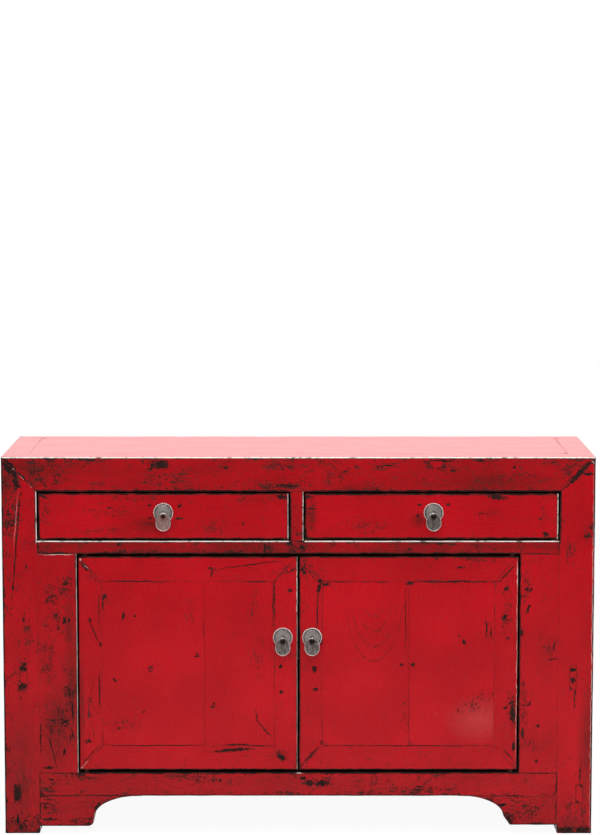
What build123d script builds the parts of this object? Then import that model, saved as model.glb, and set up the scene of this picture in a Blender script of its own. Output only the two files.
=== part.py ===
from build123d import *
import os

# A low cabinet in red lacquered softwood: two drawers over a pair of doors that turn on wooden pins.
# Its corners are three-way mitres, where a post and two rails meet at 45 degrees on every face.
# Millimetres. X runs to the right along the front, Y from the front to the back, Z up.
# The origin is on the floor, in the middle of the whole footprint, with the pulls included.

# ---- Whole cabinet ----
width = 1320.0
depth = 390.0  # front face to back face of the posts
height = 855.0

# ---- Posts and top frame ----
front_post_width = 78.0
front_post_depth = 60.0
back_post_width = 60.0
back_post_depth = 36.0
side_rail_width = 57.0
top_rail_height = 78.0
top_panel_thickness = 14.0

# ---- Front, from the floor up ----
leg_height = 86.5
bottom_rail_height = 53.5
bottom_rail_depth = 45.0
side_rail_drop = 20.0  # how much lower the side rails hang than the front one
drawer_rail_height = 30.0
drawer_opening_height = 110.0
divider_width = 30.0
divider_depth = 45.0
divider_offset = -3.5  # the divider's middle, left of the cabinet's
filler_width = 88.0
filler_thickness = 20.0

# ---- Joinery ----
stub_length = 22.0
stub_thickness = 12.0
shoulder = 8.0
groove_depth = 7.0
tongue_thickness = 6.0
tongue_setback = 5.0  # from the face that shows to the tongue
tenon_cover = 22.0  # wood left over the posts' top tenons
tenon_proud = 0.5  # through-tenons stand this far out of the front
side_tenon_width = 15.0
side_tenon_height = 42.0
side_tenon_rise = 4.5  # from the underside of the side rail

# ---- Top battens, under the panel ----
batten_spacing = 610.0
batten_width = 44.0
batten_depth = 29.0
batten_tenon_width = 31.0
batten_tenon_height = 15.0
batten_key_height = 5.0
batten_key_flare = 3.0

# ---- Sides, shelf, floor and back ----
side_panel_thickness = 14.0
side_batten_width = 44.0
side_batten_height = 62.0
side_batten_tenon_height = 56.0
side_batten_tenon_inset = 45.0  # its middle, from the cabinet's outer side
shelf_height = 388.0
shelf_thickness = 18.0
shelf_play = 1.0
floor_thickness = 14.0
floor_drop = 8.0  # below the top of the bottom rails
back_panel_thickness = 10.0
back_panel_setback = 13.0

# ---- Aprons under the bottom rail: plain feet that sweep up to it ----
apron_thickness = 22.0
apron_foot = {"left": 17.0, "right": 19.6}  # underside of the flat, above the floor
apron_flat = {"left": 119.0, "right": 106.0}
apron_nose = {"left": 14.0, "right": 4.0}
apron_step = {"left": 124.5, "right": 121.0}  # from the post to where the sweep starts
apron_step_height = {"left": 42.0, "right": 41.0}
apron_sweep = {"left": 105.0, "right": 97.0}

# ---- Doors ----
door_thickness = 24.0
door_proud = 1.0
door_side_gap = 4.0
door_meeting_gap = 4.0
door_top_gap = 5.5
door_bottom_gap = 7.0
door_stile_width = 52.0
door_rail_width = 56.0
door_panel_thickness = 10.0
door_tongue_thickness = 5.0
door_tongue_setback = 3.0
door_tenon_inset = 20.0  # from the door's outer edges, clear of the pins
door_tenon_thickness = 6.0
door_panel_seam = {"left": 210.0, "right": 247.0}  # from the cabinet's middle
seam_gap = 0.3
door_arris = 4.0  # rounding of the hinge edge, which lets it turn past the filler board
pintle_radius = 6.0
pintle_clearance = 0.1
pintle_inset = 13.0
pintle_grip_bottom = 5.0  # less than the top gap, so that the door lifts out
pintle_grip_top = 12.0
pintle_end_gap = 0.3
door_stop_drop = 10.0
door_stop_gap = 0.3
door_stop_clear = 38.0  # left free of the stop at the hinge edge

# ---- Drawers ----
drawer_gap = 3.5
drawer_recess = 1.5
drawer_front_thickness = 20.0
drawer_side_thickness = 14.0
drawer_side_height = 98.0
drawer_lap = 8.0  # wood in front of the sides' ends
drawer_back_thickness = 12.0
drawer_back_inset = 24.0
drawer_back_drop = 6.0
drawer_bottom_thickness = 8.0
drawer_bottom_rise = 8.0
drawer_ride_gap = 0.3
drawer_guide_gap = 0.5
runner_height = 22.0
runner_ledge = 26.0
guide_height = 30.0
runner_stub = 10.0

# ---- Pulls ----
plate_radius = 22.0
plate_sheet = 1.0
plate_dome = 2.6
plate_rim_width = 3.0
plate_scallops = 26
scallop_radius = 1.5
pin_radius = 1.6
pin_clearance = 0.1
pin_leg_length = 14.0
pin_leg_thickness = 1.4
eye_radius = 4.2
eye_wire_radius = 1.1
eye_clearance = 0.3
pendant_width = 33.4
pendant_top = 1.8  # above the middle of the plate
pendant_shoulder = 23.8
pendant_belly = 18.0
pendant_thickness = 1.8
pendant_rim = 1.2
pendant_rim_raise = 0.5
pendant_hole_radius = 2.25
pendant_hole_drop = 5.0
drawer_pull_offset = {"left": 0.0, "right": 4.0}  # to the right of the drawer's middle
drawer_pull_rise = 8.0
door_pull_inset = {"left": 32.7, "right": 28.8}  # from the door's meeting edge
door_pull_height = 449.0

# ---- Places that follow ----
hands = {"left": -1, "right": 1}
half_width = width / 2
eye_stand = plate_sheet + plate_dome + eye_clearance + eye_radius + eye_wire_radius
pull_reach = door_proud + eye_stand + eye_radius + eye_wire_radius
front = -(depth - pull_reach) / 2
back = front + depth
post_width = {-1: front_post_width, 1: back_post_width}  # by end: -1 is the front, 1 the back
post_depth = {-1: front_post_depth, 1: back_post_depth}
face = {-1: front, 1: back}
inner_front = front + front_post_depth
inner_back = back - back_post_depth
opening_half = half_width - front_post_width
top_rail_under = height - top_rail_height
drawer_rail_top = top_rail_under - drawer_opening_height
drawer_rail_under = drawer_rail_top - drawer_rail_height
bottom_rail_top = leg_height + bottom_rail_height
top_panel_under = height - top_panel_thickness
side_panel_inner = half_width - side_panel_thickness
back_panel_front = back - back_panel_setback - back_panel_thickness


def block(low, high, mode=Mode.ADD):
    """Adds a square block between two opposite corners, or cuts one."""
    size = [abs(b - a) for a, b in zip(low, high)]
    middle = tuple((a + b) / 2 for a, b in zip(low, high))
    with Locations(middle):
        Box(*size, mode=mode)


def take_out(*pieces):
    """Cuts finished neighbours out of the piece being built, so that they meet face to face."""
    for piece in pieces:
        add(piece.part, mode=Mode.SUBTRACT)


def trim(corner, edge, diagonal, kept):
    """Cuts along the plane through a corner and two directions, and keeps the side named."""
    normal = Vector(*edge).cross(Vector(*diagonal))
    if normal.dot(Vector(*kept)) < 0:
        normal = -normal
    split(bisect_by=Plane(origin=corner, z_dir=normal), keep=Keep.TOP)


def save(piece, name):
    """Labels a finished piece and writes its STEP file."""
    piece.part.label = name
    export_step(piece.part, f"parts/{name}.step")


os.makedirs("parts", exist_ok=True)

# ---- Top: two battens in the panel's underside, and the floating panel ----
# Each batten is keyed into the panel by a dovetail. Its ends go right through the front and
# back rails and show there as small upright ends of grain.
batten_top = top_panel_under + batten_key_height
with BuildPart() as top_battens:
    for side in hands.values():
        x = side * batten_spacing / 2
        block((x - batten_width / 2, inner_front, top_panel_under - batten_depth),
              (x + batten_width / 2, inner_back, top_panel_under))
        block((x - batten_tenon_width / 2, front - tenon_proud, batten_top - batten_tenon_height),
              (x + batten_tenon_width / 2, back, batten_top))
        with BuildSketch(Plane.XZ.offset(-inner_back)):
            with BuildLine():
                Polyline((x - batten_tenon_width / 2, top_panel_under),
                         (x - batten_tenon_width / 2 - batten_key_flare, batten_top),
                         (x + batten_tenon_width / 2 + batten_key_flare, batten_top),
                         (x + batten_tenon_width / 2, top_panel_under), close=True)
            make_face()
        extrude(amount=inner_back - inner_front)
save(top_battens, "top_battens")

# The panel lies flush in the frame, held by a tongue all round.
panel_half = half_width - side_rail_width
tongue_top = height - tongue_setback
with BuildPart() as top_panel:
    block((-panel_half, inner_front, top_panel_under), (panel_half, inner_back, height))
    block((-panel_half - groove_depth, inner_front - groove_depth, tongue_top - tongue_thickness),
          (panel_half + groove_depth, inner_back + groove_depth, tongue_top))
    take_out(top_battens)
save(top_panel, "top_panel")

# ---- Sides: a flush panel, a batten behind it that carries the shelf, and a bottom rail ----
side_rail_under = leg_height - side_rail_drop
side_panels = {}
side_battens = {}
bottom_side_rails = {}
for hand, side in hands.items():
    tongue_outer = half_width - tongue_setback
    with BuildPart() as side_panel:
        block((side * side_panel_inner, inner_front, bottom_rail_top),
              (side * half_width, inner_back, top_rail_under))
        block((side * (tongue_outer - tongue_thickness), inner_front - groove_depth,
               bottom_rail_top - groove_depth),
              (side * tongue_outer, inner_back + groove_depth, top_rail_under + groove_depth))
    save(side_panel, f"side_panel_{hand}")
    side_panels[hand] = side_panel

    # Both its ends go right through the posts.
    tenon_middle = half_width - side_batten_tenon_inset
    tenon_bottom = shelf_height - (side_batten_height + side_batten_tenon_height) / 2
    with BuildPart() as side_batten:
        block((side * (side_panel_inner - side_batten_width), inner_front,
               shelf_height - side_batten_height),
              (side * side_panel_inner, inner_back, shelf_height))
        block((side * (tenon_middle - side_tenon_width / 2), front - tenon_proud, tenon_bottom),
              (side * (tenon_middle + side_tenon_width / 2), back,
               tenon_bottom + side_batten_tenon_height))
    save(side_batten, f"side_batten_{hand}")
    side_battens[hand] = side_batten

# The floor is one board, housed in the rails on all four sides.
floor_top = bottom_rail_top - floor_drop
floor_under = floor_top - floor_thickness
with BuildPart() as floor_board:
    block((-panel_half - groove_depth, inner_front, floor_under),
          (panel_half + groove_depth, inner_back, floor_top))
    block((-opening_half, front + bottom_rail_depth - groove_depth, floor_under),
          (opening_half, inner_front, floor_top))
    block((back_post_width - half_width, inner_back, floor_under),
          (half_width - back_post_width, inner_back + groove_depth, floor_top))
save(floor_board, "floor_board")

for hand, side in hands.items():
    tenon_middle = half_width - side_rail_width / 2
    tenon_bottom = side_rail_under + side_tenon_rise
    with BuildPart() as bottom_side_rail:
        block((side * panel_half, inner_front, side_rail_under),
              (side * half_width, inner_back, bottom_rail_top))
        block((side * (tenon_middle - side_tenon_width / 2), front - tenon_proud, tenon_bottom),
              (side * (tenon_middle + side_tenon_width / 2), back, tenon_bottom + side_tenon_height))
        take_out(floor_board, side_panels[hand])
    save(bottom_side_rail, f"bottom_rail_{hand}")
    bottom_side_rails[hand] = bottom_side_rail

# The shelf lies loose on the side battens, between the posts.
with BuildPart() as shelf:
    block((shelf_play - side_panel_inner, inner_front + shelf_play, shelf_height),
          (side_panel_inner - shelf_play, inner_back - shelf_play, shelf_height + shelf_thickness))
save(shelf, "shelf")

# ---- Drawer runners: three strips that the drawers slide on, and a guide on each ----
divider_left = divider_offset - divider_width / 2
divider_right = divider_offset + divider_width / 2
drawer_outer = opening_half - drawer_gap
runner_under = drawer_rail_top - runner_height
runner_inner = drawer_outer - runner_ledge
centre_half = divider_width / 2 + drawer_gap
with BuildPart() as drawer_runners:
    stub_low = runner_under + shoulder / 2
    stub_high = drawer_rail_top - shoulder / 2
    for side in hands.values():
        block((side * side_panel_inner, inner_front, runner_under),
              (side * runner_inner, inner_back, drawer_rail_top))
        block((side * (side_panel_inner - shoulder), inner_front - runner_stub, stub_low),
              (side * (half_width - back_post_width + shoulder), inner_back + runner_stub, stub_high))
    block((divider_offset - centre_half - runner_ledge, inner_front, runner_under),
          (divider_offset + centre_half + runner_ledge, inner_back, drawer_rail_top))
    block((divider_offset - centre_half, inner_front - runner_stub, stub_low),
          (divider_offset + centre_half, inner_back + runner_stub, stub_high))
save(drawer_runners, "drawer_runners")

with BuildPart() as drawer_guides:
    guide_top = drawer_rail_top + guide_height
    for side in hands.values():
        block((side * side_panel_inner, inner_front, drawer_rail_top),
              (side * (drawer_outer + drawer_guide_gap), inner_back, guide_top))
    block((divider_offset - centre_half + drawer_guide_gap, inner_front, drawer_rail_top),
          (divider_offset + centre_half - drawer_guide_gap, inner_back, guide_top))
save(drawer_guides, "drawer_guides")

# ---- Front frame between the posts ----
# The divider stands between the drawers on stub tenons.
with BuildPart() as drawer_divider:
    block((divider_left, front, drawer_rail_top), (divider_right, front + divider_depth, top_rail_under))
    block((divider_offset - stub_thickness / 2, front + shoulder, drawer_rail_top - shoulder),
          (divider_offset + stub_thickness / 2, front + divider_depth - shoulder,
           top_rail_under + shoulder))
save(drawer_divider, "drawer_divider")

# A fixed board fills the front between each post and its door.
filler_boards = {}
door_opening_half = opening_half - filler_width
for hand, side in hands.items():
    with BuildPart() as filler_board:
        block((side * door_opening_half, front, bottom_rail_top),
              (side * opening_half, front + filler_thickness, drawer_rail_under))
        block((side * (door_opening_half + shoulder), front + tongue_setback,
               bottom_rail_top - groove_depth),
              (side * (opening_half + groove_depth), front + tongue_setback + tongue_thickness,
               drawer_rail_under + groove_depth))
    save(filler_board, f"filler_board_{hand}")
    filler_boards[hand] = filler_board

# The aprons run out along the floor line, turn up at a nose and sweep up to the rail.
aprons = {}
for hand, side in hands.items():
    foot = apron_foot[hand]
    sweep_end = opening_half - apron_step[hand] - apron_sweep[hand]
    with BuildPart() as apron:
        with BuildSketch(Plane.XZ.offset(-front)):
            with BuildLine():
                FilletPolyline((side * opening_half, foot),
                               (side * (opening_half - apron_flat[hand]), foot),
                               (side * (opening_half - apron_step[hand]), apron_step_height[hand]),
                               radius=apron_nose[hand])
                EllipticalCenterArc((side * sweep_end, apron_step_height[hand]), apron_sweep[hand],
                                    leg_height - apron_step_height[hand],
                                    start_angle=0 if side > 0 else 90, arc_size=90)
                Polyline((side * sweep_end, leg_height), (side * opening_half, leg_height),
                         (side * opening_half, foot))
            make_face()
        extrude(amount=-apron_thickness)
        block((side * opening_half, front + tongue_setback, leg_height - shoulder),
              (side * (opening_half - apron_step[hand]), front + tongue_setback + tongue_thickness,
               leg_height + groove_depth))
        block((side * (opening_half - shoulder), front + tongue_setback, foot + shoulder),
              (side * (opening_half + groove_depth), front + tongue_setback + tongue_thickness,
               leg_height - shoulder))
    save(apron, f"apron_bracket_{hand}")
    aprons[hand] = apron


def cross_rail(end, rail_depth, under, top):
    """A rail along X between two posts, with a stub tenon into each."""
    reach = half_width - post_width[end]
    near = face[end]
    far = near - end * rail_depth
    middle = (near + far) / 2
    block((-reach, near, under), (reach, far, top))
    block((-reach - stub_length, middle - stub_thickness / 2, under + shoulder),
          (reach + stub_length, middle + stub_thickness / 2, top - shoulder))


# Both front rails hold the sockets of the door pins. The upper sockets are deep, so that a
# door lifts out of the lower ones. The drawer rail also has a lip that stops the doors.
door_front = front - door_proud
door_back = door_front + door_thickness
door_outer = door_opening_half - door_side_gap
door_bottom = bottom_rail_top + door_bottom_gap
door_top = drawer_rail_under - door_top_gap
pintle_x = door_outer - pintle_inset
pintle_y = (door_front + door_back) / 2


def pintle_sockets(mouth, opens, grip):
    """Drills the two sockets for the door pins into a face that looks up (1) or down (-1)."""
    for side in hands.values():
        with Locations(Plane(origin=(side * pintle_x, pintle_y, mouth), z_dir=(0, 0, opens))):
            Hole(pintle_radius + pintle_clearance, depth=grip + pintle_end_gap)


with BuildPart() as drawer_rail:
    cross_rail(-1, front_post_depth, drawer_rail_under, drawer_rail_top)
    block((door_stop_clear - door_outer, door_back + door_stop_gap, drawer_rail_under - door_stop_drop),
          (door_outer - door_stop_clear, inner_front, drawer_rail_under))
    pintle_sockets(drawer_rail_under, -1, pintle_grip_top)
    take_out(drawer_divider, drawer_runners, *filler_boards.values())
save(drawer_rail, "drawer_rail")

with BuildPart() as bottom_rail_front:
    cross_rail(-1, bottom_rail_depth, leg_height, bottom_rail_top)
    pintle_sockets(bottom_rail_top, 1, pintle_grip_bottom)
    take_out(floor_board, *filler_boards.values(), *aprons.values())
save(bottom_rail_front, "bottom_rail_front")

# ---- Back: two rails and two thin panels in grooves ----
back_reach = half_width - back_post_width + groove_depth
with BuildPart() as back_panels:
    for under, top in ((bottom_rail_top, drawer_rail_under), (drawer_rail_top, top_rail_under)):
        block((-back_reach, back_panel_front, under - groove_depth),
              (back_reach, back_panel_front + back_panel_thickness, top + groove_depth))
save(back_panels, "back_panels")

with BuildPart() as back_rail:
    cross_rail(1, back_post_depth, drawer_rail_under, drawer_rail_top)
    take_out(back_panels, drawer_runners)
save(back_rail, "back_rail")

with BuildPart() as bottom_rail_back:
    cross_rail(1, back_post_depth, leg_height, bottom_rail_top)
    take_out(back_panels, floor_board)
save(bottom_rail_back, "bottom_rail_back")


# ---- Top frame: four rails, each mitred to the post below it and to the rail beside it ----
def mitre_corner(side, end, along_x):
    """Mitres the end of a top rail at one corner of the frame, and cuts its post's mortise."""
    corner = (side * half_width, face[end], height)
    beside = (-side * side_rail_width, -end * post_depth[end], 0)
    if along_x:
        kept = (-side, 0, 0)
        trim(corner, (0, 1, 0), (-side * post_width[end], 0, -top_rail_height), kept)
        across, inward = (0.7, 1.0), (0.3, 0.6)
    else:
        kept = (0, -end, 0)
        trim(corner, (1, 0, 0), (0, -end * post_depth[end], -top_rail_height), kept)
        across, inward = (0.25, 0.5), (0.65, 0.9)
    trim(corner, (0, 0, 1), beside, kept)
    block((side * (half_width - across[0] * side_rail_width), face[end] - end * inward[0] * post_depth[end],
           top_rail_under),
          (side * (half_width - across[1] * side_rail_width), face[end] - end * inward[1] * post_depth[end],
           height - tenon_cover), mode=Mode.SUBTRACT)


top_rails = {}
for end, name in ((-1, "top_rail_front"), (1, "top_rail_back")):
    with BuildPart() as top_rail:
        block((-half_width, face[end], top_rail_under),
              (half_width, face[end] - end * post_depth[end], height))
        for side in hands.values():
            mitre_corner(side, end, along_x=True)
        take_out(top_battens, top_panel, drawer_divider, back_panels)
    save(top_rail, name)
    top_rails[name] = top_rail

for hand, side in hands.items():
    with BuildPart() as top_rail:
        block((side * panel_half, front, top_rail_under), (side * half_width, back, height))
        for end in (-1, 1):
            mitre_corner(side, end, along_x=False)
        take_out(top_panel, side_panels[hand])
    save(top_rail, f"top_rail_{hand}")
    top_rails[f"top_rail_{hand}"] = top_rail

# ---- Posts: the feet are their lower ends. What the rails leave at the top is their tenons ----
for hand, side in hands.items():
    for end, name in ((-1, "post_front"), (1, "post_back")):
        with BuildPart() as post:
            block((side * (half_width - post_width[end]), face[end], 0),
                  (side * half_width, face[end] - end * post_depth[end], height))
            take_out(side_panels[hand], side_battens[hand], bottom_side_rails[hand], drawer_runners,
                     top_rails[f"top_rail_{hand}"], top_panel)
            if end < 0:
                take_out(drawer_rail, bottom_rail_front, filler_boards[hand], aprons[hand],
                         top_rails["top_rail_front"])
            else:
                take_out(back_rail, bottom_rail_back, back_panels, top_rails["top_rail_back"])
        save(post, f"{name}_{hand}")

# ---- Pulls: a scalloped plate, a split pin through it, and an egg-shaped drop on the pin's eye ----


def egg_line(inset):
    """Draws the drop's outline: half an ellipse above its widest place and a flatter half below."""
    for rise, start in ((pendant_shoulder, 0), (pendant_belly, 180)):
        EllipticalCenterArc((0, pendant_top - pendant_shoulder), pendant_width / 2 - inset,
                            rise - inset, start_angle=start, arc_size=180)


def make_pull(name, x, y, z, wood_thickness):
    """Makes the three pieces of a pull whose plate lies on the wood at y, with its middle at x, z."""
    section = Plane(origin=(x, y, z), x_dir=(1, 0, 0), z_dir=(0, 0, -1))
    flat = Plane(origin=(x, y, z), x_dir=(1, 0, 0), z_dir=(0, -1, 0))
    eye_y = y - eye_stand
    hole = pin_radius + pin_clearance
    rim = plate_radius - plate_rim_width
    with BuildPart() as plate:
        with BuildSketch(section):
            with BuildLine():
                Polyline((rim, 0), (plate_radius, 0), (plate_radius, plate_sheet), (rim, plate_sheet))
                ThreePointArc((rim, plate_sheet), (rim * 0.55, plate_sheet + plate_dome * 0.7),
                              (hole, plate_sheet + plate_dome))
                Line((hole, plate_sheet + plate_dome), (hole, plate_dome))
                ThreePointArc((hole, plate_dome), (rim * 0.55, plate_dome * 0.7), (rim, 0))
            make_face()
        revolve(axis=Axis((x, y, z), (0, -1, 0)))
        with BuildSketch(flat):
            with PolarLocations(plate_radius + scallop_radius / 2, plate_scallops):
                Circle(scallop_radius)
        extrude(amount=plate_sheet, mode=Mode.SUBTRACT)
    save(plate, f"{name}_plate")

    # The pin's legs are spread on the back of the wood. Its eye stands clear of the plate.
    with BuildPart() as pin:
        with Locations((x, eye_y, z)):
            Torus(eye_radius, eye_wire_radius, rotation=(0, 90, 0))
        with BuildSketch(Plane(origin=(x, eye_y + eye_radius, z), x_dir=(1, 0, 0), z_dir=(0, 1, 0))):
            Circle(pin_radius)
        extrude(amount=eye_stand - eye_radius + wood_thickness + pin_leg_thickness)
        block((x - pin_radius, y + wood_thickness, z - pin_leg_length),
              (x + pin_radius, y + wood_thickness + pin_leg_thickness, z + pin_leg_length))
    save(pin, f"{name}_pin")

    # The drop hangs with its hole round the eye's wire, and turns about the middle of the eye.
    hanging = Plane(origin=(x, eye_y, z), x_dir=(1, 0, 0), z_dir=(0, -1, 0))
    with BuildPart() as drop:
        with BuildSketch(hanging):
            with BuildLine():
                egg_line(0)
            make_face()
        extrude(amount=pendant_thickness / 2, both=True)
        with BuildSketch(hanging.offset(pendant_thickness / 2)):
            for inset, mode in ((0, Mode.ADD), (pendant_rim, Mode.SUBTRACT)):
                with BuildLine():
                    egg_line(inset)
                make_face(mode=mode)
        extrude(amount=pendant_rim_raise)
        with BuildSketch(hanging):
            with Locations((0, -pendant_hole_drop)):
                Circle(pendant_hole_radius)
        extrude(amount=pendant_thickness + pendant_rim_raise, both=True, mode=Mode.SUBTRACT)
    save(drop, f"{name}_drop")


def pin_hole(x, y, z, wood_thickness):
    """Drills the hole of a pull's pin through the piece being built."""
    with Locations(Plane(origin=(x, y, z), z_dir=(0, -1, 0))):
        Hole(pin_radius + pin_clearance, depth=wood_thickness)


# ---- Doors: a mitred frame round a flush panel of two boards ----
door_meeting = door_meeting_gap / 2
for hand, side in hands.items():
    hinge_edge = side * door_outer
    meeting_edge = side * door_meeting
    hinge_inner = side * (door_outer - door_stile_width)
    meeting_inner = side * (door_meeting + door_stile_width)
    panel_low = door_bottom + door_rail_width
    panel_high = door_top - door_rail_width
    tongue_front = door_front + door_tongue_setback
    seam = side * door_panel_seam[hand]

    with BuildPart() as door_panel:
        block((hinge_inner, door_front, panel_low),
              (meeting_inner, door_front + door_panel_thickness, panel_high))
        block((hinge_inner + side * groove_depth, tongue_front, panel_low - groove_depth),
              (meeting_inner - side * groove_depth, tongue_front + door_tongue_thickness,
               panel_high + groove_depth))
        block((seam - seam_gap / 2, door_front, door_bottom),
              (seam + seam_gap / 2, door_back, door_top), mode=Mode.SUBTRACT)
    save(door_panel, f"door_{hand}_panel")

    # The plan of the whole door, with its hinge edge rounded, which trims each frame piece.
    with BuildPart() as door_blank:
        with BuildSketch(Plane.XY.offset(door_bottom)) as plan:
            with Locations(((hinge_edge + meeting_edge) / 2, pintle_y)):
                Rectangle(door_outer - door_meeting, door_thickness)
            hinge_corners = plan.vertices().group_by(Axis.X)[0 if side < 0 else -1]
            fillet(hinge_corners, door_arris)
        extrude(amount=door_top - door_bottom)

    # The frame rails reach into the stiles with a tenon, and their mitred tips let the pins through.
    door_rails = []
    tenon_front = door_front + door_panel_thickness
    for end, edge, name in ((1, door_top, "top_rail"), (-1, door_bottom, "bottom_rail")):
        inner = edge - end * door_rail_width
        with BuildPart() as door_frame_rail:
            block((hinge_edge, door_front, edge), (meeting_edge, door_back, inner))
            trim((hinge_edge, door_front, edge), (0, 1, 0),
                 (-side * door_stile_width, 0, -end * door_rail_width), (-side, 0, 0))
            trim((meeting_edge, door_front, edge), (0, 1, 0),
                 (side * door_stile_width, 0, -end * door_rail_width), (side, 0, 0))
            with Locations(Plane(origin=(side * pintle_x, pintle_y, edge), z_dir=(0, 0, end))):
                Hole(pintle_radius, depth=door_rail_width)
            block((hinge_edge - side * door_tenon_inset, tenon_front, edge - end * 2 * shoulder),
                  (meeting_edge + side * door_tenon_inset, tenon_front + door_tenon_thickness,
                   inner + end * 2 * shoulder))
            add(door_blank.part, mode=Mode.INTERSECT)
            take_out(door_panel)
        save(door_frame_rail, f"door_{hand}_{name}")
        door_rails.append(door_frame_rail)

    # The hinge stile ends in two round pins, which turn in the rails above and below.
    with BuildPart() as hinge_stile:
        block((hinge_edge, door_front, door_bottom), (hinge_inner, door_back, door_top))
        add(door_blank.part, mode=Mode.INTERSECT)
        with BuildSketch(Plane.XY.offset(bottom_rail_top - pintle_grip_bottom)):
            with Locations((side * pintle_x, pintle_y)):
                Circle(pintle_radius)
        extrude(amount=drawer_rail_under + pintle_grip_top - bottom_rail_top + pintle_grip_bottom)
        take_out(door_panel, *door_rails)
    save(hinge_stile, f"door_{hand}_hinge_stile")

    pull_x = meeting_edge + side * door_pull_inset[hand]
    with BuildPart() as meeting_stile:
        block((meeting_edge, door_front, door_bottom), (meeting_inner, door_back, door_top))
        take_out(door_panel, *door_rails)
        pin_hole(pull_x, door_front, door_pull_height, door_thickness)
    save(meeting_stile, f"door_{hand}_meeting_stile")
    make_pull(f"door_{hand}_pull", pull_x, door_front, door_pull_height, door_thickness)

# ---- Drawers: sides lapped into the front, a bottom in grooves, and a back on top of it ----
drawer_front_face = front + drawer_recess
drawer_back_end = back_panel_front - drawer_ride_gap
drawer_under = drawer_rail_top + drawer_ride_gap
drawer_side_top = drawer_under + drawer_side_height
for hand, side in hands.items():
    outer = side * drawer_outer
    inner = (divider_right if side > 0 else divider_left) + side * drawer_gap
    outer_wall = outer - side * drawer_side_thickness
    inner_wall = inner + side * drawer_side_thickness
    bottom_under = drawer_under + drawer_bottom_rise
    bottom_top = bottom_under + drawer_bottom_thickness
    back_y = drawer_back_end - drawer_back_inset

    with BuildPart() as drawer_bottom:
        block((outer_wall + side * groove_depth, drawer_front_face + drawer_front_thickness - groove_depth,
               bottom_under),
              (inner_wall - side * groove_depth, drawer_back_end, bottom_top))
    save(drawer_bottom, f"drawer_{hand}_bottom")

    with BuildPart() as drawer_back:
        block((outer_wall + side * groove_depth, back_y - drawer_back_thickness, bottom_top),
              (inner_wall - side * groove_depth, back_y, drawer_side_top - drawer_back_drop))
    save(drawer_back, f"drawer_{hand}_back")

    with BuildPart() as drawer_sides:
        for near, far in ((outer, outer_wall), (inner, inner_wall)):
            block((near, drawer_front_face + drawer_lap, drawer_under),
                  (far, drawer_back_end, drawer_side_top))
        take_out(drawer_bottom, drawer_back)
    save(drawer_sides, f"drawer_{hand}_sides")

    pull_x = (outer + inner) / 2 + drawer_pull_offset[hand]
    pull_z = (drawer_rail_top + top_rail_under) / 2 + drawer_pull_rise
    with BuildPart() as drawer_front:
        block((outer, drawer_front_face, drawer_rail_top + drawer_gap),
              (inner, drawer_front_face + drawer_front_thickness, top_rail_under - drawer_gap))
        take_out(drawer_sides, drawer_bottom)
        pin_hole(pull_x, drawer_front_face, pull_z, drawer_front_thickness)
    save(drawer_front, f"drawer_{hand}_front")
    make_pull(f"drawer_{hand}_pull", pull_x, drawer_front_face, pull_z, drawer_front_thickness)
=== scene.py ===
import math

import bmesh
import bpy
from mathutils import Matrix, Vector
from mathutils.bvhtree import BVHTree


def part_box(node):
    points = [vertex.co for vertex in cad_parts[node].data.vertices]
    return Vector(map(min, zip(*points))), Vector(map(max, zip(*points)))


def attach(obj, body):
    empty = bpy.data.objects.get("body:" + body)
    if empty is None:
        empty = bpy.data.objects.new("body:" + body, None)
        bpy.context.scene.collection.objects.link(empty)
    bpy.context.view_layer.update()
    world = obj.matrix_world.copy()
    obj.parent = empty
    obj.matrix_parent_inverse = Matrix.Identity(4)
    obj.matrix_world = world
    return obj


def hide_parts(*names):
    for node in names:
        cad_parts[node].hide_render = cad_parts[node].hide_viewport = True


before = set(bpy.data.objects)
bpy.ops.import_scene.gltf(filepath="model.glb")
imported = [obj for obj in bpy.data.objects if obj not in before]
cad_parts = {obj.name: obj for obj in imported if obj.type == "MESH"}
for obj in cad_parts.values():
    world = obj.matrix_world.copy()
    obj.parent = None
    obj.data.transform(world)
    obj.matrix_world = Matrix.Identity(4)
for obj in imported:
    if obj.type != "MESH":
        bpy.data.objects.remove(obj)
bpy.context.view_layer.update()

# ---- Camera ----
# A long lens, at the height of a standing person, square to the front and a little above the top.
def add_object(name, data):
    """An object with this data, in the scene."""
    made = bpy.data.objects.new(name, data)
    bpy.context.collection.objects.link(made)
    return made


camera_dip = 6.3556  # degrees below level
camera = add_object("camera", bpy.data.cameras.new("camera"))
camera.location = (0.00377, -5.87665, 1.577)
camera.rotation_euler = (math.radians(90 - camera_dip), 0, 0)
camera.data.lens = 111.51
camera.data.sensor_width = 36
bpy.context.scene.camera = camera
bpy.context.scene.view_settings.view_transform = "Standard"


# ---- Floor and light ----
# A pale floor under a wide softbox, a tall softbox on the right and a weak one behind the camera.
# What is seen or mirrored past the floor is white, and the room behind the camera is dim.
def linear(colour):
    """A #rrggbb colour as the linear numbers that a shader takes."""
    parts = [int(colour[i:i + 2], 16) / 255 for i in (1, 3, 5)]
    return tuple(p / 12.92 if p <= 0.04045 else ((p + 0.055) / 1.055) ** 2.4 for p in parts) + (1.0,)


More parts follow.
